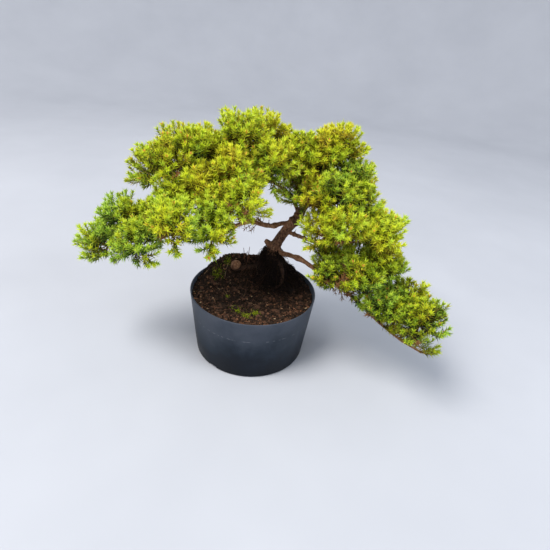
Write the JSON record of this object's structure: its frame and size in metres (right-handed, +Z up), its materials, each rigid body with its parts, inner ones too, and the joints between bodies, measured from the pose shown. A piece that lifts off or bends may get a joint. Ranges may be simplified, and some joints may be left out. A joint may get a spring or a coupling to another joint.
{
  "type": "japanese garden juniper bonsai",
  "caption": "Japanese garden juniper bonsai with a bent trunk, arching leafy branches and a low cascading branch, in a thin round black plastic pot.",
  "frame": {"origin": "centre of the pot's underside", "axes": "+Z up, +X to the cascading branch's side, +Y to the back"},
  "size_m": [0.375, 0.1963, 0.2616],
  "materials": {
    "pot": "satin",
    "soil": "matte",
    "wood": "matte",
    "foliage": "matte"
  },
  "bodies": {
    "root": {"pot": "pot", "soil": "soil", "trunk_and_branches": "wood", "far_left_bunch_1": "foliage", "far_left_bunch_2": "foliage", "far_left_bunch_3": "foliage", "far_left_bunch_4": "foliage", "front_left_bunch_1": "foliage", "front_left_bunch_2": "foliage", "front_left_bunch_3": "foliage", "low_left_bunch_1": "foliage", "low_left_bunch_2": "foliage", "middle_left_bunch_1": "foliage", "middle_left_bunch_2": "foliage", "middle_left_bunch_3": "foliage", "middle_left_bunch_4": "foliage", "upper_left_bunch_1": "foliage", "upper_left_bunch_2": "foliage", "upper_left_bunch_3": "foliage", "upper_left_bunch_4": "foliage", "upper_left_bunch_5": "foliage", "crown_bunch_1": "foliage", "crown_bunch_2": "foliage", "crown_bunch_3": "foliage", "crown_bunch_4": "foliage", "crown_bunch_5": "foliage", "middle_bunch_1": "foliage", "middle_bunch_2": "foliage", "inner_right_bunch_1": "foliage", "upper_right_bunch_1": "foliage", "upper_right_bunch_2": "foliage", "upper_right_bunch_3": "foliage", "shoulder_right_bunch_1": "foliage", "shoulder_right_bunch_2": "foliage", "shoulder_right_bunch_3": "foliage", "shoulder_right_bunch_4": "foliage", "middle_right_bunch_1": "foliage", "middle_right_bunch_2": "foliage", "middle_right_bunch_3": "foliage", "middle_right_bunch_4": "foliage", "cascade_bunch_1": "foliage", "cascade_bunch_2": "foliage", "cascade_bunch_3": "foliage", "cascade_bunch_4": "foliage", "cascade_bunch_5": "foliage", "cascade_tip_bunch_1": "foliage", "cascade_tip_bunch_2": "foliage", "cascade_tip_bunch_3": "foliage", "cascade_tip_bunch_4": "foliage", "cascade_low_bunch_1": "foliage", "inner_cascade_bunch_1": "foliage", "back_left_bunch_1": "foliage", "back_left_bunch_2": "foliage", "back_left_bunch_3": "foliage", "back_right_bunch_1": "foliage", "back_right_bunch_2": "foliage"}
  },
  "joints": []
}
